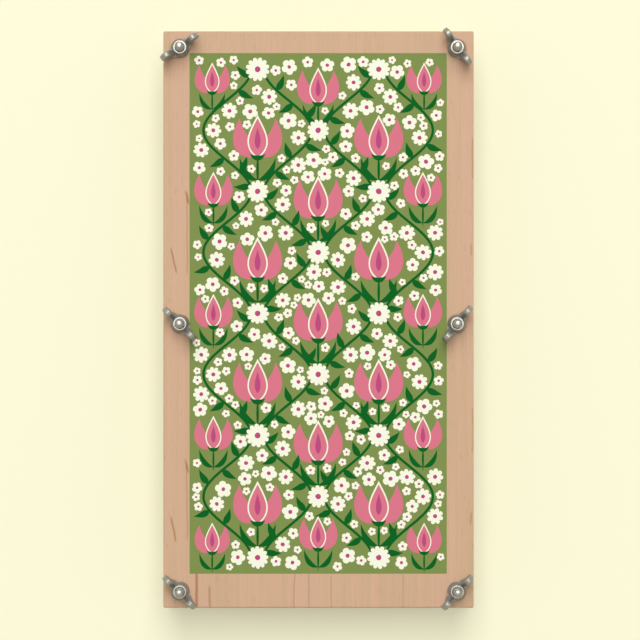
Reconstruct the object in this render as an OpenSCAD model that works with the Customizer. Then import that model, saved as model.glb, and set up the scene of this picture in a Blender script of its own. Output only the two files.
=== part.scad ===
// Flower press: two wooden boards are drawn together by six bolts and wing nuts over a stack of
// corrugated card and blotting paper. The press lies flat: +Z is up, X runs across it and Y along
// it. The origin is the middle of the lower board's underside. All lengths are in millimetres.

/* [Boards] */
// Width of both boards
board_w = 182; // [160:1:240]
// Length of both boards
board_l = 338; // [260:1:420]
// Thickness of the lower board
lower_board_t = 9; // [6:0.5:15]
// Thickness of the upper board
upper_board_t = 9; // [6:0.5:15]
// Radius of the boards' four corners, seen from above
corner_r = 1; // [0.5:0.1:4]
// Radius to which the edges round the boards' faces are eased
edge_r = 0.8; // [0.3:0.1:2]
// Gap round the bolts in the upper board's six holes
upper_hole_gap = 0.3; // [0.1:0.05:1]

/* [Bolt places] */
// Distance of the side bolts' centres from the boards' long edges
side_inset = 10; // [9:0.5:14]
// Distance of the corner bolts' centres from the boards' short edges
end_inset = 10; // [9:0.5:14]
// Distance of the middle pair of bolts from the boards' middle, along the boards
middle_shift = -2.5; // [-10:0.5:10]

/* [Bolts] */
// Diameter of the bolts
bolt_d = 5; // [4:0.1:6]
// How far the bolts' tips stand out of the nuts
tip_over = 8.3; // [1:0.1:14]
// How far the flat countersunk head stands out past the shank, all round
head_flare = 2.25; // [1.5:0.05:3]
// Height of the straight rim round the head
head_rim_h = 0.4; // [0.2:0.1:0.8]
// Height of the square neck's end above the flat of the head
neck_h = 5; // [4:0.1:6]
// Length of the bevel at the bolt's tip
tip_bevel = 0.75; // [0.3:0.05:1]
// Depth of the head's flat inside the underside of the lower board
head_recess = 0.3; // [0.1:0.1:1]
// Gap between the bolt and its seat in the lower board
seat_gap = 0.1; // [0.05:0.01:0.2]

/* [Washers] */
// Gap between the washers and the bolts
washer_gap = 0.15; // [0.1:0.05:0.4]
// Width of the washers' ring
washer_ring_w = 2.35; // [1.5:0.05:3.5]
// Thickness of the washers
washer_t = 1; // [0.5:0.1:1.6]
// Radius to which the washer's stamped upper edge is drawn down
washer_edge_r = 0.2; // [0.1:0.05:0.3]

/* [Wing nuts] */
// Radial gap between the bolt and the nut's bore
thread_gap = 0.05; // [0.02:0.01:0.1]
// Height of the nut's hub
hub_h = 6.5; // [5:0.1:8]
// How far the hub's foot stands out past the ring at its top
foot_flare = 1.6; // [0.8:0.1:2.5]
// Height of the hub's foot, where its side is upright
foot_h = 0.8; // [0.4:0.1:1.5]
// Wall of the hub between its bore and the side of the ring at its top
ring_wall = 1.35; // [1:0.05:2]
// Radius of the rounding outside that ring
ring_r = 0.2; // [0.1:0.05:0.5]
// Depth of the bevel at the mouths of the bore
mouth_bevel = 0.3; // [0.2:0.05:0.6]
// Span over the tips of both wings
wing_span = 26; // [24:0.5:30]
// Height of the wing tips above the nut's foot
wing_h = 13; // [12:0.5:16]
// Thickness of the web that carries each thumb pad
web_t = 2.4; // [1.8:0.1:3.2]
// Where the webs' feet leave the rim of the hub's foot, in degrees from the line of the wings
root_angle = 50; // [40:1:65]
// How far the ring at the hub's top stands out of the webs
ring_stand = 1.4; // [0.8:0.1:2]
// Thickness of the thumb pads
pad_t = 3.4; // [2.6:0.1:4.2]
// Radius of the thumb pads' round ends
pad_r = 3; // [2.4:0.1:3.4]
// Radius to which the pads' rims are rounded
pad_edge_r = 0.9; // [0.4:0.1:1.2]
// Distance between the centres of a pad's two round ends
pad_reach = 2; // [1:0.1:3]
// Lean of the thumb pads inwards from upright, in degrees
pad_lean = 22; // [0:1:30]

/* [Turn of each wing nut] */
// Turn of the wings at the back left, in degrees from +X
turn_back_left = 34; // [0:1:180]
// Turn of the wings at the back right
turn_back_right = 126; // [0:1:180]
// Turn of the wings at the middle left
turn_middle_left = 135; // [0:1:180]
// Turn of the wings at the middle right
turn_middle_right = 51; // [0:1:180]
// Turn of the wings at the front left
turn_front_left = 135; // [0:1:180]
// Turn of the wings at the front right
turn_front_right = 49; // [0:1:180]

/* [Stack] */
// Number of sheets of corrugated card
card_count = 6; // [3:1:6]
// Thickness of a sheet of corrugated card
card_t = 3; // [2.4:0.1:3.2]
// Distance from one crest of the fluting to the next
flute_pitch = 6.4; // [5:0.1:9]
// Thickness of the card's two facing liners
liner_t = 0.3; // [0.2:0.05:0.5]
// Thickness of the card's fluted middle
flute_t = 0.3; // [0.2:0.05:0.5]
// Thickness of a sheet of blotting paper
blotter_t = 0.35; // [0.2:0.05:0.5]
// Gap between the sides of the cards and the bolts
card_side_gap = 3.5; // [1:0.5:10]
// Distance of the cards' ends from the boards' short edges
card_end_gap = 6; // [2:0.5:20]
// Distance of the blotting paper's edges inside the cards' edges
blotter_inset = 1; // [0:0.5:4]

/* [Hidden] */
// What cuts through runs past each face by this much
overrun = 1;
// A pair of blotting papers lies between each two cards
blotters_between = 2;
blotter_count = blotters_between * (card_count - 1);

// Heights, counted up from the underside of the lower board
stack_h = card_count * card_t + blotter_count * blotter_t;
upper_board_z = lower_board_t + stack_h;
washer_z = upper_board_z + upper_board_t;
nut_z = washer_z + washer_t;

// Sheets fit between the two rows of bolts
card_w = board_w - 2 * (side_inset + bolt_d / 2 + card_side_gap);
card_l = board_l - 2 * card_end_gap;

// A card, with the blotters above it, takes one step of the stack
stack_step = card_t + blotters_between * blotter_t;

// How far the flutes of each card lie across from those of the card below, in flutes
cut_shift_share = 0.25;

bolt_x = board_w / 2 - side_inset;
bolt_y = board_l / 2 - end_inset;
STATIONS = [
  ["back_left", [-bolt_x, bolt_y], turn_back_left],
  ["back_right", [bolt_x, bolt_y], turn_back_right],
  ["middle_left", [-bolt_x, middle_shift], turn_middle_left],
  ["middle_right", [bolt_x, middle_shift], turn_middle_right],
  ["front_left", [-bolt_x, -bolt_y], turn_front_left],
  ["front_right", [bolt_x, -bolt_y], turn_front_right],
];

// The bolts reach from their sunk heads through the whole press and out of the nuts
bolt_l = nut_z + hub_h + tip_over - head_recess;

// The square neck that keeps a bolt from turning is as wide as the bolt is thick
neck_w = bolt_d;
head_d = bolt_d + 2 * head_flare;
upper_hole_d = bolt_d + 2 * upper_hole_gap;
washer_hole_d = bolt_d + 2 * washer_gap;
washer_d = washer_hole_d + 2 * washer_ring_w;
bore_r = bolt_d / 2 + thread_gap;
ring_d = 2 * (bore_r + ring_wall);
foot_d = ring_d + 2 * foot_flare;

// The thumb pad's lower round end touches the span of the wings, and its upper one their height
pad_top = [wing_span / 2 - pad_r - pad_reach * sin(pad_lean), wing_h - pad_r];
pad_low = pad_top + pad_reach * [sin(pad_lean), -cos(pad_lean)];

// The webs' feet are as wide here as the rim of the hub's foot is at the root angle
web_root = foot_d / 2 * [cos(root_angle), sin(root_angle)];

// Where the web's edges meet the pad's round ends, in degrees from the level
PAD_JOIN = 30;

// True circles, and round outlines that are drawn as points
$fn = 64;
CURVE_STEPS = 8;
ROOF_STEPS = 8;

// A rectangle about the origin whose corners are true arcs
module rounded_rectangle(w, l, r) {
  square([w - 2 * r, l], center = true);
  square([w, l - 2 * r], center = true);
  for (x = [-1, 1], y = [-1, 1])
    translate([x * (w / 2 - r), y * (l / 2 - r)]) circle(r);
}

// A board with its corners and all its edges eased, standing on z = 0
module eased_board(t) {
  intersection() {
    linear_extrude(t) rounded_rectangle(board_w, board_l, corner_r);
    translate([0, 0, t / 2]) rotate([90, 0, 0])
      linear_extrude(board_l, center = true) rounded_rectangle(board_w, t, edge_r);
    translate([0, 0, t / 2]) rotate([90, 0, 90])
      linear_extrude(board_w, center = true) rounded_rectangle(board_l, t, edge_r);
  }
}

// A bolt: flat head down with a cone at 45 degrees, square neck, plain shank and bevelled tip.
// A gap all round turns the same shape into the seat that the lower board has for it.
module bolt(gap = 0) {
  rotate_extrude() polygon([
    [0, 0],
    [head_d / 2 + gap, 0],
    [head_d / 2 + gap, head_rim_h + gap],
    [bolt_d / 2 + gap, head_rim_h + head_flare + gap],
    [bolt_d / 2 + gap, bolt_l - tip_bevel],
    [bolt_d / 2 - tip_bevel + gap, bolt_l],
    [0, bolt_l],
  ]);
  translate([-neck_w / 2 - gap, -neck_w / 2 - gap, head_rim_h])
    cube([neck_w + 2 * gap, neck_w + 2 * gap, neck_h - head_rim_h + gap]);
}

module bolts() {
  color("silver")
    for (s = STATIONS) translate([s[1].x, s[1].y, head_recess]) bolt();
}

// The heads' seats are drilled from below, and are open at the underside
module lower_board() {
  color([0.82, 0.69, 0.56]) difference() {
    eased_board(lower_board_t);
    for (s = STATIONS) translate([s[1].x, s[1].y, 0]) {
      translate([0, 0, head_recess]) bolt(seat_gap);
      translate([0, 0, -overrun]) cylinder(h = overrun + head_recess, d = head_d + 2 * seat_gap);
    }
  }
}

module upper_board() {
  color([0.83, 0.7, 0.57]) translate([0, 0, upper_board_z]) difference() {
    eased_board(upper_board_t);
    for (s = STATIONS)
      translate([s[1].x, s[1].y, -overrun]) cylinder(h = upper_board_t + 2 * overrun, d = upper_hole_d);
  }
}

// A stamped washer, with the upper edge drawn down by the punch
module washer(station) {
  color("gainsboro") translate([station[1].x, station[1].y, washer_z]) rotate_extrude() {
    difference() {
      translate([washer_hole_d / 2, 0]) square([(washer_d - washer_hole_d) / 2, washer_t]);
      translate([washer_d / 2 - washer_edge_r, washer_t - washer_edge_r]) square(overrun);
    }
    translate([washer_d / 2 - washer_edge_r, washer_t - washer_edge_r]) circle(washer_edge_r);
  }
}

// Half the hub's section: an upright foot, a side that sweeps in to the ring, and a rounded ring.
// The sweep is a falling square curve, steep under the ring and flat at the foot.
module hub_section() {
  side_z = hub_h - ring_r;
  side = [
    for (i = [1:CURVE_STEPS])
      let (s = i / CURVE_STEPS)
        [ring_d / 2 + (foot_d - ring_d) / 2 * s * s, side_z - (side_z - foot_h) * s],
  ];
  polygon(concat(
    [[0, 0], [0, hub_h], [ring_d / 2 - ring_r, hub_h]],
    [for (a = [90:-30:0]) [ring_d / 2 - ring_r + ring_r * cos(a), side_z + ring_r * sin(a)]],
    side,
    [[foot_d / 2, 0]]
  ));
}

// A point on the quadratic curve from a to c that is pulled towards b
function bend(a, b, c, s) = (1 - s) * (1 - s) * a + 2 * s * (1 - s) * b + s * s * c;

// A point on the rim of a round of radius pad_r
function pad_rim(centre, angle) = centre + pad_r * [cos(angle), sin(angle)];

// The web seen from the side: both edges sweep up from the hub into the thumb pad
module web_side() {
  low_start = [foot_d / 2, foot_h];
  low_pull = [pad_low.x, foot_h];
  low_end = pad_rim(pad_low, -PAD_JOIN);
  high_end = pad_rim(pad_top, 180 - PAD_JOIN);
  high_start = [ring_d / 2 - ring_r, hub_h - ring_stand];
  high_pull = [(high_start.x + high_end.x) / 2, hub_h - ring_r];
  polygon(concat(
    [[0, low_start.y]],
    [for (i = [0:CURVE_STEPS]) bend(low_start, low_pull, low_end, i / CURVE_STEPS)],
    [pad_top],
    [for (i = [0:CURVE_STEPS]) bend(high_end, high_pull, high_start, i / CURVE_STEPS)],
    [[0, high_start.y]]
  ));
}

// The web seen from above: its foot leaves the rim of the hub's foot in line with that rim, and
// narrows in a sweep towards the pad
module web_plan() {
  pull = web_root + (web_root.y - web_t) * [tan(root_angle), -1];
  waist = [pad_low.x, web_t / 2];
  side = concat(
    [[0, web_root.y]],
    [for (i = [0:CURVE_STEPS]) bend(web_root, pull, waist, i / CURVE_STEPS)],
    [[wing_span / 2, web_t / 2]]
  );
  polygon(concat(side, [for (i = [len(side) - 1:-1:0]) [side[i].x, -side[i].y]]));
}

// The web seen from its end: a wide foot that draws in like the hub's, and an even web above it
module web_end() {
  side = concat(
    [[web_root.y, 0]],
    [
      for (i = [0:CURVE_STEPS])
        bend([web_root.y, foot_h], [web_t / 2, foot_h], [web_t / 2, hub_h - ring_stand], i / CURVE_STEPS),
    ],
    [[web_t / 2, wing_h]]
  );
  polygon(concat(side, [for (i = [len(side) - 1:-1:0]) [-side[i].x, side[i].y]]));
}

// Half the thumb pad's section: a flat plate with rounded corners
module pad_half_section() {
  edge_x = pad_r - pad_edge_r;
  edge_y = pad_t / 2 - pad_edge_r;
  translate([0, -pad_t / 2]) square([edge_x, pad_t]);
  translate([0, -edge_y]) square([pad_r, 2 * edge_y]);
  for (side = [-1, 1]) translate([edge_x, side * edge_y]) circle(pad_edge_r);
}

// The thumb pad: two rounds and the straight stretch between them, with the same rounded rim
module thumb_pad() {
  for (c = [pad_top, pad_low])
    translate([c.x, 0, c.y]) rotate([90, 0, 0]) rotate_extrude() pad_half_section();
  translate([pad_low.x, 0, pad_low.y]) rotate([0, -pad_lean, 0])
    linear_extrude(pad_reach) rounded_rectangle(2 * pad_r, pad_t, pad_edge_r);
}

module wing() {
  intersection() {
    rotate([90, 0, 0]) linear_extrude(foot_d, center = true) web_side();
    linear_extrude(wing_h) web_plan();
    rotate([90, 0, 90]) linear_extrude(wing_span / 2) web_end();
  }
  thumb_pad();
}

module wing_nut(station) {
  mouth_r = bore_r + mouth_bevel;
  color("darkgray") translate([station[1].x, station[1].y, nut_z]) rotate([0, 0, station[2]])
    difference() {
      union() {
        rotate_extrude() hub_section();
        for (turn = [0, 180]) rotate([0, 0, turn]) wing();
      }
      translate([0, 0, -overrun]) cylinder(h = hub_h + 2 * overrun, r = bore_r);
      cylinder(h = mouth_bevel, r1 = mouth_r, r2 = bore_r);
      translate([0, 0, hub_h - mouth_bevel]) cylinder(h = mouth_bevel, r1 = bore_r, r2 = mouth_r);
    }
}

// One tunnel under the fluted middle, as seen at the card's end: a floor on the liner, and a roof
// that follows the middle's wave from one trough over its crest to the next
module flute_tunnel() {
  tunnel_h = card_t - 2 * liner_t - flute_t;
  end_turn = 140;
  end_drop = 1 - cos(end_turn);
  polygon([
    for (i = [0:ROOF_STEPS])
      let (turn = end_turn * (2 * i / ROOF_STEPS - 1))
        [flute_pitch * turn / 360, tunnel_h * (1 - (1 - cos(turn)) / end_drop)],
  ]);
}

// A sheet of corrugated card, cut out of a larger one. Its flutes run along the press. They are
// open at both ends, and the knife has laid the outermost ones open along the sides too.
module corrugated_card(index) {
  shift = flute_pitch * ((index * cut_shift_share) % 1);
  reach = ceil(card_w / flute_pitch) + 3;
  color([0.76, 0.6, 0.42]) translate([0, 0, lower_board_t + index * stack_step])
    rotate([90, 0, 0]) linear_extrude(card_l, center = true) difference() {
      translate([-card_w / 2, 0]) square([card_w, card_t]);
      for (i = [-reach:reach]) translate([i * flute_pitch / 2 + shift, 0])
        if (i % 2 == 0) translate([0, liner_t]) flute_tunnel();
        else translate([0, card_t - liner_t]) mirror([0, 1]) flute_tunnel();
    }
}

// Two blotters lie on each card but the last
module blotting_paper(index) {
  card_below = floor(index / blotters_between);
  level = index % blotters_between;
  z = lower_board_t + card_below * stack_step + card_t + level * blotter_t;
  w = card_w - 2 * blotter_inset;
  l = card_l - 2 * blotter_inset;
  color([0.95, 0.93, 0.86]) translate([-w / 2, -l / 2, z]) cube([w, l, blotter_t]);
}

lower_board();
bolts();
upper_board();
for (s = STATIONS) {
  washer(s);
  wing_nut(s);
}
for (i = [1:card_count])
  corrugated_card(i - 1);
for (i = [1:blotter_count])
  blotting_paper(i - 1);
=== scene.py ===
"""The looks of a flower press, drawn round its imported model.

Two wooden boards hold card and blotting paper between them, six bolts with wing nuts draw them
together, and the upper board carries a screen print. The file goes through the press as it is put
together. Sizes are in millimetres, and are turned into metres where a mesh is made."""

import math

import bmesh
import bpy
import numpy as np
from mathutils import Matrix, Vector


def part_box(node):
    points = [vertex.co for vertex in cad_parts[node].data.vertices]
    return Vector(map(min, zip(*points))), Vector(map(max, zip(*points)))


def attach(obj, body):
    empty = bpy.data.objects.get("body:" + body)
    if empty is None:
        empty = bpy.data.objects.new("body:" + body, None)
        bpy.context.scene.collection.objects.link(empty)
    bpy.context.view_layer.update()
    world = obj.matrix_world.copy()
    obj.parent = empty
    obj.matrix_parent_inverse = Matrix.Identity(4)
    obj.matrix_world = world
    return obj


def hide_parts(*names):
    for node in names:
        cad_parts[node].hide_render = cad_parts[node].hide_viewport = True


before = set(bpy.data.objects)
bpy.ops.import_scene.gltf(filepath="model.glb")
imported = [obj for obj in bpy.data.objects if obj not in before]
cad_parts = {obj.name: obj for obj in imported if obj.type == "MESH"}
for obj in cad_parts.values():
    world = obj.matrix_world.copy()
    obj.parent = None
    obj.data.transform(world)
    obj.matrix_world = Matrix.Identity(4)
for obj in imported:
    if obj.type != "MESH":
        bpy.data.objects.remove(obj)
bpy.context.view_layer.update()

# The two boards.
# Beech plywood, 9 mm thick: seven plies with the grain of each across the next, and a long-grained
# face veneer, sanded, eased along the edges and rubbed with a thin clear matt oil.
MM = 0.001
PLIES = 7
FACE_ROSE = (212, 172, 142)
FACE_STRAW = (206, 171, 137)
PLY_LONG = (214, 182, 146)
PLY_END = (170, 130, 96)
GLUE_LINE = (128, 92, 66)
MINERAL_RED = (160, 102, 56)
FLECK_BROWN = (176, 137, 110)
STREAK_TONE = 0.13
PORE_TONE = 0.09
FLECK_SHARE = 0.28
MINERAL_WAVER = 1.6
MINERAL_FADE = 3
WOOD_RELIEF = 0.03


def paint(red, green, blue):
    """A colour as a screen shows it, 0 to 255, as the linear colour that a shader takes."""
    share = np.array([red, green, blue]) / 255
    linear = np.where(share <= 0.04045, share / 12.92, ((share + 0.055) / 1.055) ** 2.4)
    return (*linear.tolist(), 1.0)


class Wire:
    """A number or colour inside a finish. Arithmetic on wires and numbers adds Math nodes."""

    def __init__(self, finish, socket):
        self.finish = finish
        self.socket = socket

    def math(self, operation, first, second=0.0):
        return self.finish.node("ShaderNodeMath", {"operation": operation}, {0: first, 1: second})

    def __add__(self, other):
        return self.math("ADD", self, other)

    def __radd__(self, other):
        return self.math("ADD", other, self)

    def __sub__(self, other):
        return self.math("SUBTRACT", self, other)

    def __rsub__(self, other):
        return self.math("SUBTRACT", other, self)

    def __mul__(self, other):
        return self.math("MULTIPLY", self, other)

    def __rmul__(self, other):
        return self.math("MULTIPLY", other, self)

    def __truediv__(self, other):
        return self.math("DIVIDE", self, other)

    def __mod__(self, other):
        return self.math("FLOORED_MODULO", self, other)

    def __abs__(self):
        return self.math("ABSOLUTE", self)

    def rise(self, low, high):
        """0 below low and 1 above high, or the other way round, with a smooth passage between."""
        settings = {"interpolation_type": "SMOOTHSTEP"}
        return self.finish.node("ShaderNodeMapRange", settings, {0: self, 1: low, 2: high})

    def band(self, low, high, soft):
        """1 between low and high and 0 outside, with edges that fade over soft."""
        return self.rise(low - soft, low) * self.rise(high + soft, high)


class Finish:
    """A material that is being put together round its principled shader."""

    def __init__(self, name, fixed):
        self.material = bpy.data.materials.new(name)
        self.material.use_nodes = True
        self.tree = self.material.node_tree
        self.shader = self.tree.nodes["Principled BSDF"]
        self.feed(self.shader, fixed)

    def feed(self, node, sockets):
        """Gives each of the node's sockets its value or its link."""
        for name, value in sockets.items():
            if isinstance(value, Wire):
                self.tree.links.new(value.socket, node.inputs[name])
            else:
                node.inputs[name].default_value = value

    def node(self, kind, settings, sockets, output=0):
        """Adds a node of that kind, its settings first and then its sockets, and gives an output."""
        made = self.tree.nodes.new(kind)
        for name, value in settings.items():
            setattr(made, name, value)
        self.feed(made, sockets)
        return Wire(self, made.outputs[output])

    def place(self, stretch=(1, 1, 1), shift=(0, 0, 0)):
        """Where a point of the piece is, in units as long as the stretch in millimetres."""
        here = self.node("ShaderNodeTexCoord", {}, {}, "Object")
        scale = [1 / (MM * s) for s in stretch]
        return self.node("ShaderNodeMapping", {}, {"Vector": here, "Scale": scale, "Location": shift})

    def parts(self, vector):
        """The x, y and z of a vector."""
        return [self.node("ShaderNodeSeparateXYZ", {}, {0: vector}, axis) for axis in "XYZ"]

    def axes(self):
        """The point's x, y and z in millimetres."""
        return self.parts(self.place())

    def normal(self):
        """The x, y and z of the way that the surface faces."""
        return self.parts(self.node("ShaderNodeTexCoord", {}, {}, "Normal"))

    def noise(self, stretch, seed=0.0, detail=2.0, rough=0.5):
        """Cloudy noise from 0 to 1 whose lumps are as large as the stretch."""
        here = self.place(stretch, (seed, seed, seed))
        fixed = {"Vector": here, "Scale": 1.0, "Detail": detail, "Roughness": rough}
        return self.node("ShaderNodeTexNoise", {}, fixed)

    def mix(self, share, below, above):
        """The colour below where the share is 0, and the colour above where it is 1."""
        return self.node("ShaderNodeMix", {"data_type": "RGBA"}, {0: share, 6: below, 7: above}, 2)

    def dim(self, colour, factor):
        """The colour, a wire or numbers, made darker or lighter by a factor."""
        if not isinstance(colour, Wire):
            colour = colour[:3]
        settings = {"operation": "SCALE"}
        return self.node("ShaderNodeVectorMath", settings, {0: colour, "Scale": factor})

    def bump(self, height, depth):
        """A surface that rises and falls with the height, which runs from 0 to 1, by the depth in mm."""
        fixed = {"Height": height, "Distance": depth * MM, "Strength": 1.0}
        return self.node("ShaderNodeBump", {}, fixed)


def grain(finish, seed, along):
    """Colour of long-grained beech: broad rose and straw stripes, narrow streaks, fine pores and
    short brown flecks. along is the axis that the fibres follow, and every lump of noise is drawn
    out on it, so many millimetres across and so many long."""
    def lump(across, length, shift, **more):
        stretch = [across, across, across]
        stretch[along] = length
        return finish.noise(stretch, seed + shift, **more)
    stripes = lump(7, 260, 0.3).rise(0.36, 0.64)
    streaks = lump(1.5, 120, 3.7, detail=3.0)
    pores = lump(0.32, 16, 9.1, detail=1.0)
    flecks = lump(0.55, 6.5, 5.9, detail=0.0).rise(0.68, 0.8)
    colour = finish.mix(stripes, paint(*FACE_ROSE), paint(*FACE_STRAW))
    colour = finish.dim(colour, 1 + (streaks - 0.5) * STREAK_TONE + (pores - 0.5) * PORE_TONE)
    return finish.mix(flecks * FLECK_SHARE, colour, paint(*FLECK_BROWN)), pores


def board_finish(name, node, seed, streaks):
    """Plywood: the plies are told apart by height, and every second one runs across the press.
    Where a side cuts a ply across its fibres it shows darker end grain, and a glue line lies
    between each two plies. streaks lists the mineral streaks on the face: the x of their front
    end, their lowest and highest y, how far they lean across over their length, their half width,
    and their strength from 0 to 1."""
    finish = Finish(name, {"Specular IOR Level": 0.3})
    low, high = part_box(node)
    x, y, z = finish.axes()
    ply = (z - low.z / MM) / ((high.z - low.z) / MM / PLIES)
    ply = ply.math("MINIMUM", ply.math("MAXIMUM", ply, 0.01), PLIES - 0.01)
    crossed = (ply % 2).rise(0.99, 1.01)
    long_grain, pores = grain(finish, seed, along=1)
    cross_grain, end_pores = grain(finish, seed + 20, along=0)
    normal = finish.normal()
    facing_x, facing_y = abs(normal[0]), abs(normal[1])
    cut_across = finish.node("ShaderNodeMix", {}, {0: crossed, 2: facing_y, 3: facing_x}).rise(0.3, 0.8)
    colour = finish.mix(crossed, long_grain, cross_grain)
    side = facing_x.math("MAXIMUM", facing_x, facing_y).rise(0.5, 0.9)
    colour = finish.mix(side * 0.35, colour, paint(*PLY_LONG))
    ends = finish.noise((0.35, 0.35, 0.35), seed + 2, detail=3.0)
    colour = finish.mix(cut_across * (0.45 + ends * 0.5), colour, paint(*PLY_END))
    glue = abs((ply + 0.5) % 1 - 0.5).rise(0.07, 0.02) * side
    colour = finish.mix(glue * 0.7, colour, paint(*GLUE_LINE))
    for centre, front, back, lean, half_width, strength in streaks:
        waver = (finish.noise((40, 14, 40), seed + centre) - 0.5) * MINERAL_WAVER
        line = waver + centre + (y - front) * (lean / (back - front))
        near = abs(x - line).rise(half_width * 2.2, half_width * 0.4)
        there = near * y.band(front, back, MINERAL_FADE) * crossed.rise(0.5, 0.4) * strength
        colour = finish.mix(there, colour, paint(*MINERAL_RED))
    wear = finish.noise((14, 30, 14), seed + 6)
    finish.feed(finish.shader, {
        "Base Color": colour,
        "Roughness": 0.5 + pores * 0.16 + wear * 0.08,
        "Normal": finish.bump(pores + ends * cut_across + end_pores * crossed, WOOD_RELIEF),
    })
    return finish.material


def dress(piece, material):
    """Gives the piece this one material."""
    piece.data.materials.clear()
    piece.data.materials.append(material)


UPPER_STREAKS = [
    (-71.6, -169, -149, 0.3, 0.6, 0.7),
    (-63.7, -169, -158, -0.3, 0.45, 0.5),
    (-14.4, -169, -149, 0.5, 0.35, 0.4),
    (-5.6, -169, -149, 0, 0.3, 0.3),
    (7.4, -169, -152, 0, 0.3, 0.3),
    (49.7, -169, -150, -0.4, 0.35, 0.25),
    (-76.8, 28, 71, -0.6, 0.25, 0.5),
    (-76.5, 69.5, 73.5, -0.9, 0.5, 0.75),
    (-83.7, 29, 40, -2.3, 0.38, 0.7),
    (-76.9, -127, -86, -0.5, 0.25, 0.45),
    (-76.6, -88, -84, -0.9, 0.45, 0.7),
    (-83.9, -128.5, -117.5, -2.2, 0.38, 0.7),
    (90.4, 84, 105, 0, 0.35, 0.4),
    (89.4, 39, 43, 0, 0.4, 0.4),
    (90.3, -76, -53, 0, 0.35, 0.35),
    (89.2, -118.5, -114.5, 0.4, 0.4, 0.45),
]
LOWER_STREAKS = [(34, -120, -66, 1.5, 1.2, 0.28), (-52, 60, 134, -2, 1.0, 0.22)]

for node, name, seed, streaks in (
    ("lower_board", "beech_ply_lower", 31.0, LOWER_STREAKS),
    ("upper_board", "beech_ply_upper", 4.0, UPPER_STREAKS),
):
    dress(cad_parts[node], board_finish(name, node, seed, streaks))

# The print on the upper board.
# Five flat inks screened straight on to the sanded wood, one over another: an olive ground, then
# pink, dark green, cream and magenta. The pattern is a trellis of winding stems with daisies and
# leaves on it, a tulip in each of its eyes, and small blossoms strewn over what is left.
PANEL = {"left": -75.6, "right": 75.2, "front": -149.0, "back": 156.2}
PANEL_CORNER = 0.3
EDGE_GAP = 1.2
FILM = 0.02
OLIVE = (129, 146, 79)
PINK = (221, 120, 138)
LEAF_GREEN = (0, 97, 31)
CREAM = (251, 251, 227)
MAGENTA = (190, 76, 128)
STEM_SWAY = 14.0
STEM_GAP = 35.5
STEM_HALF_WIDTH = 0.75
END_MARGIN = 9.5
PERIODS = 4
STEPS_PER_PERIOD = 9
KNOT_R = 6.8
DAISY_R = 4.8
DAISY_OFF_STEM = 5.8
TULIP_DROP = 5.5
EYE_SHARE = 0.25
BLOSSOM_DARTS = 24000
BLOSSOM_R = {"largest": 5.0, "smallest": 2.2}
BLOSSOM_OVERLAP = 0.2

face_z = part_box("upper_board")[1].z / MM
panel_middle = np.array([PANEL["left"] + PANEL["right"], PANEL["front"] + PANEL["back"]]) / 2
panel_w = PANEL["right"] - PANEL["left"]
panel_l = PANEL["back"] - PANEL["front"]
period = (panel_l - 2 * END_MARGIN) / PERIODS
dice = np.random.default_rng(11)
pink, green, cream, magenta = [], [], [], []
taken = []


def skin(name, families, crease=40, wrap=True):
    """A mesh from families of grids, each an array of grids by rows by columns by x, y, z in mm.
    Every four neighbours make a face. Columns run round and close on the first where wrap is set,
    and points that meet are merged, which closes the seams and the poles. Edges sharper than the
    crease, in degrees, stay sharp."""
    points, faces, start = [], [], 0
    for grids in families:
        count, rows, columns, _ = grids.shape
        index = np.arange(start, start + count * rows * columns).reshape(count, rows, columns)
        if wrap:
            index = np.concatenate([index, index[:, :, :1]], axis=2)
        corners = [index[:, :-1, :-1], index[:, :-1, 1:], index[:, 1:, 1:], index[:, 1:, :-1]]
        faces.append(np.stack(corners, axis=-1).reshape(-1, 4))
        points.append(grids.reshape(-1, 3) * MM)
        start += count * rows * columns
    mesh = bpy.data.meshes.new(name)
    mesh.from_pydata(np.concatenate(points).tolist(), [], np.concatenate(faces).tolist())
    edit = bmesh.new()
    edit.from_mesh(mesh)
    bmesh.ops.remove_doubles(edit, verts=edit.verts, dist=0.0005 * MM)
    edit.to_mesh(mesh)
    edit.free()
    mesh.polygons.foreach_set("use_smooth", np.ones(len(mesh.polygons), bool))
    mesh.set_sharp_from_angle(angle=math.radians(crease))
    return mesh


def fit(name, mesh, material, body, stands_for=()):
    """Adds a piece that moves with a body, gives it the material it is handed, and hides the nodes that
    it takes the place of.
    """
    piece = bpy.data.objects.new(name, mesh)
    bpy.context.scene.collection.objects.link(piece)
    dress(piece, material)
    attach(piece, body)
    if stands_for:
        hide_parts(*stands_for)
    return piece


def film(inner, outer, level):
    """A layer of ink between two edges, each an array of shapes by points by x, y. Its section is
    a loop of four points, inner and outer at the top and outer and inner on the wood. The level
    says how many films lie over each other up to its top. Shapes that follow each other differ by
    a tenth of a film, so that no two tops fall together where they overlap."""
    lift = level + np.arange(len(inner)) % 7 / 10
    top = face_z + FILM * lift[:, None, None] + np.zeros((*inner.shape[:2], 1))
    wood = np.full_like(top, face_z)
    corners = [(inner, top), (outer, top), (outer, wood), (inner, wood)]
    placed = [np.concatenate([edge + panel_middle, z], axis=-1) for edge, z in corners]
    return np.stack(placed, axis=2)


def take(centres, radii):
    """Notes the circles that a shape covers, so that others can keep clear of them."""
    radii = np.broadcast_to(radii, centres.shape[:-1])
    taken.append(np.concatenate([centres, radii[..., None]], axis=-1).reshape(-1, 3))


def free(places, radii, gap):
    """Which of the places have room for a circle that lies inside the panel and the gap clear of
    all that is printed, and of the places before it."""
    circles = np.concatenate(taken)
    kept = []
    for place, radius in zip(places, np.broadcast_to(radii, len(places))):
        inside = np.array([panel_w, panel_l]) / 2 - EDGE_GAP - radius
        apart = np.linalg.norm(circles[:, :2] - place, axis=1) - circles[:, 2]
        kept.append(bool(np.all(np.abs(place) < inside) and apart.min() > radius + gap))
        if kept[-1]:
            circles = np.vstack([circles, [*place, radius]])
    return np.array(kept)


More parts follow.
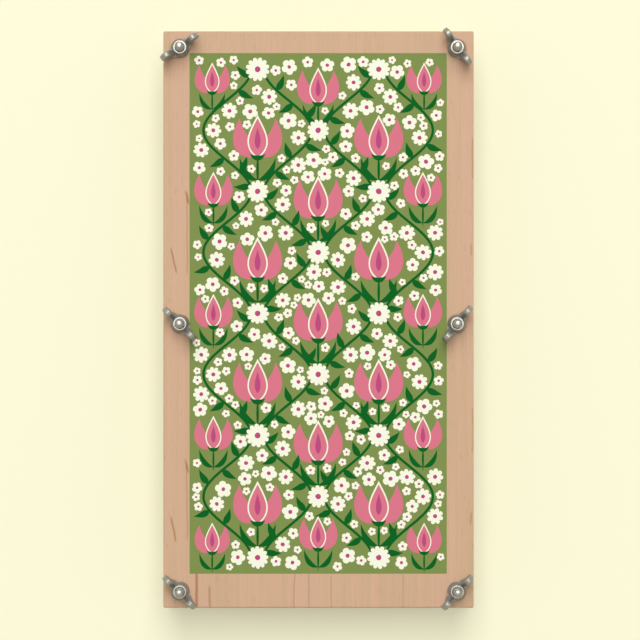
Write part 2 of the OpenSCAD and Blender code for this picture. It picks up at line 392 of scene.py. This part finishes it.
def ribbons(spine, half_width, level):
    """Ink that lies half its width to either side of a spine."""
    take(spine, half_width)
    heading = np.gradient(spine, axis=1)
    heading /= np.linalg.norm(heading, axis=-1, keepdims=True)
    left = np.stack([-heading[..., 1], heading[..., 0]], axis=-1) * half_width[:, None]
    return film(spine + left, spine - left, level)


def blades(starts, pulls, ends, half_width, fullness, level, points=14):
    """Leaves, petals and stalks: each spine is a quadratic curve from its start to its end, pulled
    aside, and the half width follows the sine of a power of the way along it."""
    way = np.linspace(0, 1, points)[:, None]
    start, pull, end = (np.asarray(p, float)[:, None] for p in (starts, pulls, ends))
    spine = (1 - way) ** 2 * start + 2 * way * (1 - way) * pull + way ** 2 * end
    return ribbons(spine, half_width * np.sin(math.pi * way[:, 0] ** fullness), level)


def rosettes(centres, radii, petals, depth, level, steps=6):
    """Round flowers: the radius dips between the petals to 1 - depth of the whole, as a power of
    the cosine of half the petals times the angle. Each flower is turned and sized by chance."""
    take(centres, radii)
    angle = np.linspace(0, math.tau, petals * steps + 1)
    count = len(centres)
    lobe = np.abs(np.cos(petals * angle / 2)) ** 0.6
    size = (radii * dice.uniform(0.94, 1.04, count))[:, None]
    uneven = dice.uniform(-0.05, 0.05, (count, 1)) * np.cos(angle * 2 + dice.uniform(0, 6, (count, 1)))
    reach = size * (1 - depth + depth * lobe) * (1 + uneven)
    turn = dice.uniform(0, math.tau, (count, 1)) + angle
    rim = reach[..., None] * np.stack([np.cos(turn), np.sin(turn)], axis=-1)
    middles = np.repeat(centres[:, None], len(angle), axis=1)
    return film(middles, middles + rim, level)


def flowers(centres, radii, petals, depth, level):
    """Cream flowers with a magenta eye."""
    cream.append(rosettes(centres, radii, petals, depth, level))
    magenta.append(rosettes(centres, radii * EYE_SHARE, 3, 0.06, level + 1.2, steps=5))


def tulips(middles, size):
    """Tulips about their middles: two outer petals that lean apart, a middle petal with a cream
    line round it and a drop of magenta, a cup, a stalk and two leaves."""
    def at(x, y):
        return middles + np.array([x, y]) * size
    for side in (-1, 1):
        tip, bend, root = at(side * 12.5, -12.5), at(side * 10, -27), at(0, -28)
        green.append(blades(root, bend, tip, 2.2 * size, 0.9, 3.5 + side / 4))
        tip, bend, root = at(side * 12.5, 15), at(side * 15.5, -4), at(side, -11)
        pink.append(blades(root, bend, tip, 6.4 * size, 0.72, 2.4 + side / 4))
    green.append(blades(at(0, -32), at(0, -20), at(0, -9), 0.9 * size, 0.9, 3))
    cream.append(blades(at(0, -13), at(0, 0), at(0, 17.4), 7.1 * size, 0.8, 4))
    pink.append(blades(at(0, -11.8), at(0, 0), at(0, 15), 6.1 * size, 0.8, 5))
    magenta.append(blades(at(0, -6.5), at(0, 0), at(0, 8.5), 2.0 * size, 0.75, 6))
    green.append(blades(at(-5.4, -10), at(0, -15.4), at(5.4, -10), 1.8 * size, 1.0, 6))


def stem_point(stem, along):
    """A stem sways as a cosine about its line, and neighbours sway against each other."""
    sway = STEM_SWAY * np.cos(math.tau * along / period)
    return np.stack([(stem - 1.5) * STEM_GAP + (-1) ** stem * sway, along], axis=-1)


def lattice(*spots):
    """Places given in gaps between stems across the panel and in periods along it."""
    return np.array(spots, float) * [STEM_GAP, period]


# large daisies tie neighbouring stems where they meet, and a tulip stands in each eye between
inner_knots = [(0, n + 0.5) for n in range(-2, 2)]
outer_knots = [(side, n) for side in (-1, 1) for n in range(-2, 3)]
flowers(lattice(*inner_knots, *outer_knots), KNOT_R, petals=12, depth=0.24, level=7)
inner_eyes = [(0, n) for n in (-1, 0, 1)]
outer_eyes = [(side, n + 0.5) for side in (-1, 1) for n in range(-2, 2)]
tulips(lattice(*inner_eyes, *outer_eyes) - [0, TULIP_DROP], 0.84)
tulips(lattice(*[(side * 1.73, n) for side in (-1, 1) for n in (-1, 0, 1)]), 0.66)

# shorter ones fill the open eyes at the panel's ends and its corners
tulips(lattice((0, 1.84)), 0.72)
tulips(lattice((0, -1.82)), 0.66)
tulips(lattice((-1.75, 1.91), (1.75, 1.91), (-1.75, -1.86), (1.75, -1.86)), 0.6)

half = PERIODS / 2 * period
stem_way = np.linspace(-half, half, 220)
stem_width = STEM_HALF_WIDTH * (1 - (stem_way / half) ** 60) ** 0.5
for stem in range(4):
    green.append(ribbons(stem_point(stem, stem_way)[None], stem_width, 3))

# a daisy and a leaf face each other at even steps along the stems, and change sides at each step
steps = (np.arange(PERIODS * STEPS_PER_PERIOD) + 0.5) / STEPS_PER_PERIOD * period - half
side = (-1) ** np.arange(len(steps))[:, None]
for stem in range(4):
    here = stem_point(stem, steps)
    ahead = stem_point(stem, steps + 0.5) - stem_point(stem, steps - 0.5)
    ahead /= np.linalg.norm(ahead, axis=1, keepdims=True)
    out = np.stack([-ahead[:, 1], ahead[:, 0]], axis=1) * side
    daisies = here + out * DAISY_OFF_STEM
    flowers(daisies[free(daisies, DAISY_R, 0)], DAISY_R, petals=8, depth=0.3, level=5)
    room = free(here - out * 6 + ahead, 1.5, 0)
    leaf = [here, here - out * 3.5 - ahead, here - out * 9.4 + ahead * 2.6]
    green.append(blades(*(point[room] for point in leaf), 1.9, 0.8, 3.7))

# blossoms of chance sizes are thrown at the panel and stay where there is room, give or take a
# slight overlap
darts = dice.uniform(-0.5, 0.5, (BLOSSOM_DARTS, 2)) * [panel_w, panel_l]
blossom_r = np.geomspace(BLOSSOM_R["largest"], BLOSSOM_R["smallest"], BLOSSOM_DARTS)
room = free(darts, blossom_r, -BLOSSOM_OVERLAP)
flowers(darts[room], blossom_r[room], petals=5, depth=0.28, level=4)


def ink(name, colour):
    """Dense flat ink with the faint mottle that a screen leaves, over the fine grain of the wood."""
    finish = Finish(name, {"Specular IOR Level": 0.06})
    mottle = finish.noise((5, 5, 5), detail=4.0)
    wood_pores = finish.noise((0.32, 16, 0.32), 13.1, detail=1.0)
    shade = 1 + (mottle - 0.5) * 0.05 + (wood_pores - 0.5) * 0.03
    finish.feed(finish.shader, {
        "Base Color": finish.dim(paint(*colour), shade),
        "Roughness": 0.5 + mottle * 0.15,
        "Normal": finish.bump(wood_pores, 0.012),
    })
    return finish.material


corner = np.arange(4)[:, None]
turn = (corner * 90 + np.linspace(0, 90, 5)) * math.pi / 180
sign_x, sign_y = np.array([1, -1, -1, 1])[:, None], np.array([1, 1, -1, -1])[:, None]
ground_rim = np.stack([
    sign_x * (panel_w / 2 - PANEL_CORNER) + PANEL_CORNER * np.cos(turn),
    sign_y * (panel_l / 2 - PANEL_CORNER) + PANEL_CORNER * np.sin(turn),
], axis=-1).reshape(1, -1, 2)
ground_rim = np.concatenate([ground_rim, ground_rim[:, :1]], axis=1)

for name, colour, families in (
    ("print_ground", OLIVE, [film(np.zeros_like(ground_rim), ground_rim, 1)]),
    ("print_pink", PINK, pink),
    ("print_green", LEAF_GREEN, green),
    ("print_cream", CREAM, cream),
    ("print_magenta", MAGENTA, magenta),
):
    fit(name, skin(name, families), ink(f"{name}_ink", colour), "upper_board")

# The six bolts.
# Steel bolts, M5 by 55, with a flat countersunk head sunk in the lower board, a square neck that
# grips the wood, and a rolled thread up to a bevelled and slightly domed tip. They are zinc plated.
STATIONS = ["back_left", "back_right", "middle_left", "middle_right", "front_left", "front_right"]
THREAD_PITCH = 0.8
THREAD_DEPTH = 0.45
SHANK_R = 2.5
HEAD_R = 4.75
HEAD_RIM = 0.4
NECK_TOP = 5.0
TIP_BEVEL = 0.75
TIP_RISE = 0.3
TIP_TILT = math.radians(20)
THREAD_ROWS = 8
ROUND_STEPS = 48

around = np.arange(ROUND_STEPS) * math.tau / ROUND_STEPS
bolt_low, bolt_high = (corner.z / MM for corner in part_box("bolts"))


def thread(z, radius):
    """A right-hand thread: the radius dips as a rounded saw over each pitch, and the dip climbs
    one pitch in a turn."""
    phase = (z / THREAD_PITCH - around / math.tau) % 1
    flank = np.clip(np.abs(phase - 0.5) * 2.6 - 0.25, 0, 1)
    return radius - THREAD_DEPTH * (1 - flank * flank * (3 - 2 * flank))


def turned(rings, centre):
    """Rings of radii by angle, each with its height, as one grid about an upright axis."""
    radius = np.stack([np.broadcast_to(r, around.shape) for r, _ in rings])
    height = np.stack([np.full(around.shape, z) for _, z in rings])
    x = centre[0] + radius * np.cos(around)
    y = centre[1] + radius * np.sin(around)
    return np.stack([x, y, height], axis=-1)[None]


def bolt_rings():
    """The outline of a bolt from the flat of its head to its tip, as radius and height. The tip
    ends in a shallow dome, drawn by the tilt of its surface."""
    square = SHANK_R / np.maximum(np.abs(np.cos(around)), np.abs(np.sin(around)))
    rim_z, neck_z = bolt_low + HEAD_RIM, bolt_low + NECK_TOP
    rings = [(0.0, bolt_low), (HEAD_R - 0.1, bolt_low), (HEAD_R, bolt_low + 0.1), (HEAD_R, rim_z)]
    for z in np.linspace(rim_z + 0.2, neck_z - 0.1, 18):
        rings.append((np.maximum(HEAD_R - (z - rim_z), square), z))
    rings.append((square - 0.1, neck_z))
    rings.append((SHANK_R, neck_z))
    bevel_z = bolt_high - TIP_RISE - TIP_BEVEL
    for z in np.arange(neck_z + 0.3, bolt_high - TIP_RISE, THREAD_PITCH / THREAD_ROWS):
        start = np.clip((z - neck_z - 0.3) / THREAD_PITCH, 0, 1)
        cut = SHANK_R - (SHANK_R - thread(z, SHANK_R)) * start
        rings.append((np.minimum(cut, SHANK_R - max(z - bevel_z, 0)), z))
    for tilt in np.linspace(TIP_TILT, 0, 9):
        rise = (math.cos(tilt) - math.cos(TIP_TILT)) / (1 - math.cos(TIP_TILT))
        tip_r = (SHANK_R - TIP_BEVEL) * math.sin(tilt) / math.sin(TIP_TILT)
        rings.append((tip_r, bolt_high - TIP_RISE * (1 - rise)))
    return rings


def zinc(name, seed, speckle, coat, *patches):
    """Zinc over steel: a cool grey with soft clouds and a fine speckle. The coat is a tone, a
    roughness and how metallic it is. Each patch is the same three and where it lies, as a
    function that works out its share from the finish."""
    finish = Finish(name, {})
    cloud = finish.noise((3.5, 3.5, 3.5), seed, detail=3.0)
    fine = finish.noise((speckle, speckle, speckle), seed + 4, detail=2.0)
    tone, rough, metallic = coat
    colour = paint(*tone)
    for tone, patch_rough, patch_metallic, place in patches:
        share = place(finish)
        colour = finish.mix(share, colour, paint(*tone))
        rough = rough + share * (patch_rough - rough)
        metallic = metallic + share * (patch_metallic - metallic)
    finish.feed(finish.shader, {
        "Base Color": finish.dim(colour, 0.86 + cloud * 0.2 + fine * 0.08),
        "Roughness": (cloud - 0.5) * 0.2 + rough,
        "Metallic": metallic,
        "Normal": finish.bump(fine, 0.005),
    })
    return finish.material


def in_thread(finish):
    """The shank below the tip's bevel, which is duller than the turned tip."""
    return finish.axes()[2].rise(bolt_high - 0.9, bolt_high - 1.3)


turned_tip = ((146, 145, 144), 0.3, 1.0)
dull_thread = ((150, 150, 148), 0.42, 0.5, in_thread)
bolt_zinc = zinc("bolt_zinc", 2.0, 0.25, turned_tip, dull_thread)
for station in STATIONS:
    low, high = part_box(f"washer_{station}")
    centre = ((low.x + high.x) / 2 / MM, (low.y + high.y) / 2 / MM)
    mesh = skin(f"bolt_{station}", [turned(bolt_rings(), centre)])
    fit(f"bolt_{station}", mesh, bolt_zinc, "base", ["bolts"])

# The six washers.
# Stamped from sheet steel, so the upper edge is drawn down, and zinc plated like the bolts.
washer_zinc = zinc("washer_zinc", 8.0, 0.3, ((160, 160, 160), 0.42, 0.9))
for station in STATIONS:
    dress(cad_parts[f"washer_{station}"], washer_zinc)

# The six wing nuts.
# Cast and tumbled before plating, so every corner is soft and the wings grow out of the hub in
# fillets. The bore is tapped with the bolts' thread.
HUB_H = 6.5
CAST_GRID = 0.13
CAST_PASSES = 3
TAP_GAP = 0.03
SLEEVE_R = 2.7
MOUTH = 0.3


def ring_face_highlight(finish):
    """The level face of the ring at the hub's top where it faces up, given a lighter and more metallic
    tone: partly the bright faced metal, partly a painted highlight of the light above.
    """
    ring_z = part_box("washer_back_left")[1].z / MM + HUB_H
    level = finish.normal()[2].rise(0.75, 0.92)
    return finish.axes()[2].band(ring_z - 0.25, ring_z + 0.15, 0.1) * level


cast_skin = ((147, 146, 143), 0.34, 0.5)
# the ring's top face takes a lighter tone, which is partly a painted highlight
faced_ring_highlight = ((163, 162, 159), 0.34, 0.75, ring_face_highlight)
nut_zinc = zinc("nut_zinc", 15.0, 0.5, cast_skin, faced_ring_highlight)


def cast_copy(node):
    """The node's mesh with its seams merged, rebuilt on an even grid and smoothed a few times."""
    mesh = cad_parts[node].data.copy()
    edit = bmesh.new()
    edit.from_mesh(mesh)
    bmesh.ops.remove_doubles(edit, verts=edit.verts, dist=0.002 * MM)
    edit.to_mesh(mesh)
    edit.free()
    solid = bpy.data.objects.new(node, mesh)
    bpy.context.scene.collection.objects.link(solid)
    grid = solid.modifiers.new("grid", "REMESH")
    grid.mode = "VOXEL"
    grid.voxel_size = CAST_GRID * MM
    soften = solid.modifiers.new("soften", "SMOOTH")
    soften.factor = 0.5
    soften.iterations = CAST_PASSES
    graph = bpy.context.evaluated_depsgraph_get()
    cast = bpy.data.meshes.new_from_object(solid.evaluated_get(graph))
    bpy.data.objects.remove(solid)
    cast.polygons.foreach_set("use_smooth", np.ones(len(cast.polygons), bool))
    return cast


def tapped_sleeve(low, high, centre):
    """The thread inside a nut: the bolts' own thread a little wider, closed behind the bore's wall."""
    heights = np.arange(low + MOUTH, high - MOUTH, THREAD_PITCH / THREAD_ROWS)
    inner = [(thread(z, SHANK_R + TAP_GAP), z) for z in heights]
    rings = [(SLEEVE_R, heights[0]), *inner, (SLEEVE_R, heights[-1]), (SLEEVE_R, heights[0])]
    return turned(rings, centre)[:, ::-1]


for station in STATIONS:
    node = f"wing_nut_{station}"
    low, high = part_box(node)
    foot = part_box(f"washer_{station}")
    centre = ((foot[0].x + foot[1].x) / 2 / MM, (foot[0].y + foot[1].y) / 2 / MM)
    hub_top = low.z / MM + HUB_H
    nut = cast_copy(node)
    sleeve = skin(f"{node}_thread", [tapped_sleeve(low.z / MM, hub_top, centre)])
    edit = bmesh.new()
    edit.from_mesh(nut)
    edit.from_mesh(sleeve)
    edit.to_mesh(nut)
    edit.free()
    fit(f"cast_{node}", nut, nut_zinc, node, [node])

# The six sheets of corrugated card.
# Two kraft liners glued to a fluted middle. The sheets are cut to size with a knife, so the
# flutes are open at the ends and the last one is cut through along the sides.
FLUTE_PITCH = 6.4
CUT_SHIFT_SHARE = 0.25
PAPER_T = 0.3
FLUTE_STEPS = 16
FLUTE_SET_BACK = 0.1
KRAFT = (200, 165, 124)
KRAFT_DARK = (174, 138, 98)
CARDS = 6


def kraft(name, seed):
    """Unbleached paper: short fibres, darker shives, and the flutes showing through as bands."""
    finish = Finish(name, {"Specular IOR Level": 0.2})
    x, _, _ = finish.axes()
    fibre = finish.noise((0.5, 1.6, 0.5), seed, detail=4.0)
    cloud = finish.noise((9, 14, 9), seed + 3, detail=3.0)
    shives = finish.noise((0.4, 1.1, 0.4), seed + 7, detail=0.0).rise(0.7, 0.76)
    bands = abs((x / FLUTE_PITCH) % 1 - 0.5)
    colour = finish.mix(fibre * 0.7 + shives * 0.5, paint(*KRAFT), paint(*KRAFT_DARK))
    finish.feed(finish.shader, {
        "Base Color": finish.dim(colour, 0.93 + cloud * 0.12 + bands * 0.05),
        "Roughness": 0.8 + fibre * 0.12,
        "Normal": finish.bump(fibre * 0.4 + bands, 0.06),
    })
    return finish.material


def slab(x, bottom, top, front, back):
    """A sheet bent across its width: its underside and its top are heights over x, and it runs
    straight from front to back. Its section is a loop. At either end the loop is drawn on to the
    line midway through the sheet, which closes the grid."""
    width = np.concatenate([x, x[::-1]])
    rim = np.concatenate([top, bottom[::-1]])
    core = np.concatenate([top + bottom, (top + bottom)[::-1]]) / 2
    rows = [(front, core), (front, rim), (back, rim), (back, core)]
    return np.stack([np.stack([width, np.full_like(width, y), z], axis=-1) for y, z in rows])[None]


for number in range(1, CARDS + 1):
    node = f"corrugated_card_{number}"
    low, high = (np.array(c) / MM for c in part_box(node))
    x = np.linspace(low[0], high[0], int((high[0] - low[0]) / FLUTE_PITCH * FLUTE_STEPS))
    flutes = x / FLUTE_PITCH - (number - 1) * CUT_SHIFT_SHARE
    rise = high[2] - low[2] - 3 * PAPER_T
    middle = low[2] + PAPER_T + (1 + np.cos(flutes * math.tau)) / 2 * rise
    flat = np.zeros_like(x)
    families = [
        slab(x, low[2] + flat, low[2] + PAPER_T + flat, low[1], high[1]),
        slab(x, middle, middle + PAPER_T, low[1] + FLUTE_SET_BACK, high[1] - FLUTE_SET_BACK),
        slab(x, high[2] - PAPER_T + flat, high[2] + flat, low[1], high[1]),
    ]
    paper = kraft(f"kraft_{number}", number * 5.0)
    fit(f"fluted_{node}", skin(node, families), paper, node, [node])

# The ten sheets of blotting paper.
# Thick soft unsized paper, guillotined, with a faint tooth and a few fibres on the cut edges.
BLOTTERS = 10
SIDE_POINTS = 90
BLOTTER_WHITE = (243, 240, 228)
BLOTTER_SHADE = (226, 221, 205)
CUT_WAVER = 0.12
SHEET_CORNER = 1.2


def blotting(name, seed):
    """Soft white paper: cloudy where the pulp lies thicker, with a fine tooth and faint fibres."""
    finish = Finish(name, {"Specular IOR Level": 0.1, "Sheen Weight": 0.2, "Sheen Roughness": 0.6})
    pulp = finish.noise((4, 4, 4), seed, detail=4.0)
    tooth = finish.noise((0.35, 0.35, 0.35), seed + 2, detail=3.0)
    fibre = finish.noise((0.25, 3.0, 0.25), seed + 5, detail=1.0).rise(0.62, 0.75)
    colour = finish.mix(pulp * 0.5 + fibre * 0.3, paint(*BLOTTER_WHITE), paint(*BLOTTER_SHADE))
    finish.feed(finish.shader, {
        "Base Color": colour,
        "Roughness": 0.86 + tooth * 0.1,
        "Normal": finish.bump(tooth + fibre, 0.03),
    })
    return finish.material


def cut_sheet(low, high, seed):
    """A rectangle with small round corners whose edge wavers a little, as a flat ring of points,
    drawn in towards the middle at the top and at the bottom, where a pole closes it."""
    along = np.linspace(-1, 1, SIDE_POINTS)
    one = np.ones(SIDE_POINTS)
    edge = np.concatenate([
        np.stack([one, along], -1), np.stack([-along, one], -1),
        np.stack([-one, -along], -1), np.stack([along, -one], -1),
    ])
    half_size = (high[:2] - low[:2]) / 2
    ring = edge * half_size
    over = np.maximum(np.abs(ring) - (half_size - SHEET_CORNER), 0)
    reach = np.linalg.norm(over, axis=1, keepdims=True)
    drawn = np.where(reach > SHEET_CORNER, over * SHEET_CORNER / np.maximum(reach, 1e-9), over)
    ring = np.sign(ring) * (np.minimum(np.abs(ring), half_size - SHEET_CORNER) + drawn)
    way = np.linspace(0, math.tau, len(ring), endpoint=False)
    waver = sum(np.sin(way * n + seed * n) for n in (37, 61, 97)) / 3
    ring = ring - np.sign(ring) * (0.5 + 0.5 * waver[:, None]) * CUT_WAVER
    centre = (high[:2] + low[:2]) / 2
    heights = [low[2], low[2], low[2] + 0.06, high[2] - 0.06, high[2], high[2]]
    sizes = [0.0, 0.998, 1.0, 1.0, 0.998, 0.0]
    rows = []
    for share, z in zip(sizes, heights):
        rows.append(np.concatenate([centre + ring * share, np.full((len(ring), 1), z)], axis=1))
    return np.stack(rows)[None]


for number in range(1, BLOTTERS + 1):
    node = f"blotting_paper_{number}"
    low, high = (np.array(c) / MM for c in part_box(node))
    mesh = skin(node, [cut_sheet(low, high, number)])
    paper = blotting(f"blotting_{number}", number * 3.0)
    fit(f"cut_{node}", mesh, paper, node, [node])

# The studio.
# A sheet of pale paper under one large soft light, which hangs over the press and towards its back
# edge, and a camera straight above the print. Away from the press the paper turns into the plain
# colour of the background. FRAME_W is how much the picture takes in at the height of the print.
FLOOR_YELLOW = (254, 251, 218)
FLOOR_PAPER = (255, 254, 221)
FLOOR_LIFT = 0.3
FADE_START = 120.0
FADE_END = 800.0
FLOOR_SIZE = 12.0
CAMERA_OVER_FACE = 1.5
FRAME_W = 375.2
FRAME_SHIFT = (0.88, -0.26)
SENSOR = 36.0
KEY_PLACE = (0.0, 2.9, 6.0)
KEY_SIZE = (3.8, 6.6)
KEY_POWER = 403.0
FILL_SIDES = 0.58
FILL_ENDS = 0.2


class Surround(Finish):
    """What surrounds the press, put together in the same way round the world's background."""

    def __init__(self, world):
        self.tree = world.node_tree
        self.shader = self.tree.nodes["Background"]


floor_mesh = bpy.data.meshes.new("floor")
edge = FLOOR_SIZE / 2
corners = [(-edge, -edge, 0), (edge, -edge, 0), (edge, edge, 0), (-edge, edge, 0)]
floor_mesh.from_pydata(corners, [], [(0, 1, 2, 3)])
floor = bpy.data.objects.new("floor", floor_mesh)
bpy.context.scene.collection.objects.link(floor)


def seen(finish):
    """1 for a ray that the camera, a gloss or a glass sends, and 0 for one that carries light."""
    kinds = ("Camera", "Glossy", "Transmission")
    rays = [finish.node("ShaderNodeLightPath", {}, {}, f"Is {kind} Ray") for kind in kinds]
    total = rays[0] + rays[1] + rays[2]
    return total.math("MINIMUM", total, 1.0)


matt = {"Specular IOR Level": 0.0, "Roughness": 0.9, "Emission Strength": 1.0}
floor_paper = Finish("floor_paper", matt)
length = {"operation": "LENGTH"}
distance = floor_paper.node("ShaderNodeVectorMath", length, {0: floor_paper.place()}, "Value")
lift = seen(floor_paper) * (FLOOR_LIFT + distance.rise(FADE_START, FADE_END) * (1 - FLOOR_LIFT))
floor_paper.feed(floor_paper.shader, {
    "Base Color": floor_paper.dim(paint(*FLOOR_PAPER), 1 - lift),
    "Emission Color": floor_paper.dim(paint(*FLOOR_YELLOW), lift),
})
dress(floor, floor_paper.material)

world = bpy.data.worlds.new("studio")
world.use_nodes = True
bpy.context.scene.world = world
sky = Surround(world)
way_x = sky.parts(sky.node("ShaderNodeTexCoord", {}, {}, "Generated"))[0]
fill = FILL_ENDS + way_x * way_x * (FILL_SIDES - FILL_ENDS)
backdrop = sky.mix(seen(sky), sky.dim((1, 1, 1), fill), paint(*FLOOR_YELLOW))
sky.feed(sky.shader, {"Strength": 1.0, "Color": backdrop})

key = bpy.data.objects.new("key", bpy.data.lights.new("key", "AREA"))
key.data.shape = "RECTANGLE"
key.data.size, key.data.size_y = KEY_SIZE
key.data.energy = KEY_POWER
key.location = KEY_PLACE
key.rotation_euler = (-math.atan2(KEY_PLACE[1], KEY_PLACE[2]), 0, 0)
bpy.context.scene.collection.objects.link(key)

camera = bpy.data.objects.new("camera", bpy.data.cameras.new("camera"))
camera.data.sensor_width = SENSOR
camera.data.lens = SENSOR * CAMERA_OVER_FACE / (FRAME_W * MM)
camera.location = (FRAME_SHIFT[0] * MM, FRAME_SHIFT[1] * MM, face_z * MM + CAMERA_OVER_FACE)
bpy.context.scene.collection.objects.link(camera)
bpy.context.scene.camera = camera
bpy.context.scene.view_settings.view_transform = "Standard"
